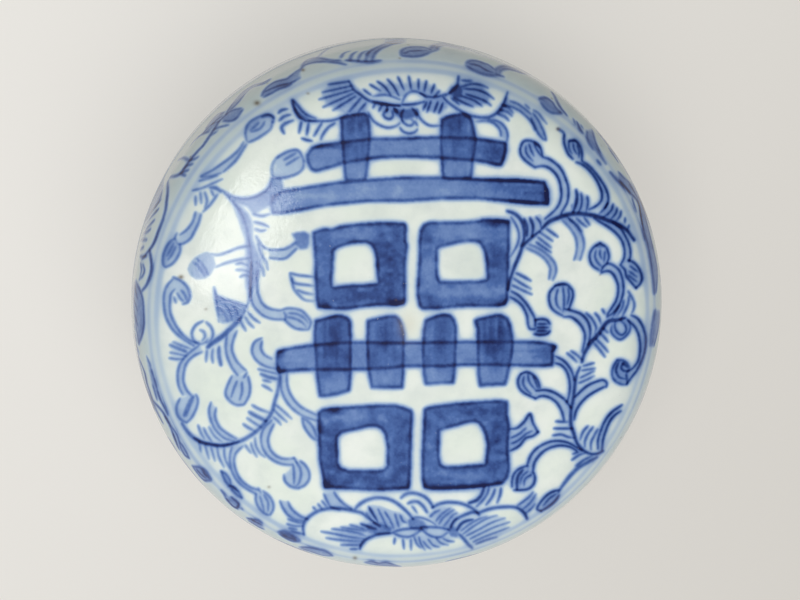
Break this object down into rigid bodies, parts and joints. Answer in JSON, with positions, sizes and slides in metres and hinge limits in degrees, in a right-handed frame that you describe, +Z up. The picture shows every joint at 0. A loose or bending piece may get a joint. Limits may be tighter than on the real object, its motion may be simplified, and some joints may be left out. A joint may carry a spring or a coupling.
{
  "type": "seal paste box",
  "caption": "Round porcelain seal paste box with a footed bowl, a lipped seat, a lift-off domed lid and a mound of red paste.",
  "frame": {"origin": "middle of the foot ring's underside", "axes": "+Z up along the axis of the box, +X to the right of the lid's ornament and +Y to its top"},
  "size_m": [0.096, 0.096, 0.0518],
  "materials": {
    "glazed_porcelain": "gloss glaze over cobalt blue painting",
    "red_paste": "soft oily paste with short fibres"
  },
  "bodies": {
    "base": {"base": "glazed_porcelain", "seal_paste": "red_paste"},
    "lid": {"lid": "glazed_porcelain"}
  },
  "joints": [
    {"name": "lid_lift", "type": "slide", "parent": "base", "child": "lid", "axis": [0, 0, 1], "range_m": [0, 0.06]}
  ]
}
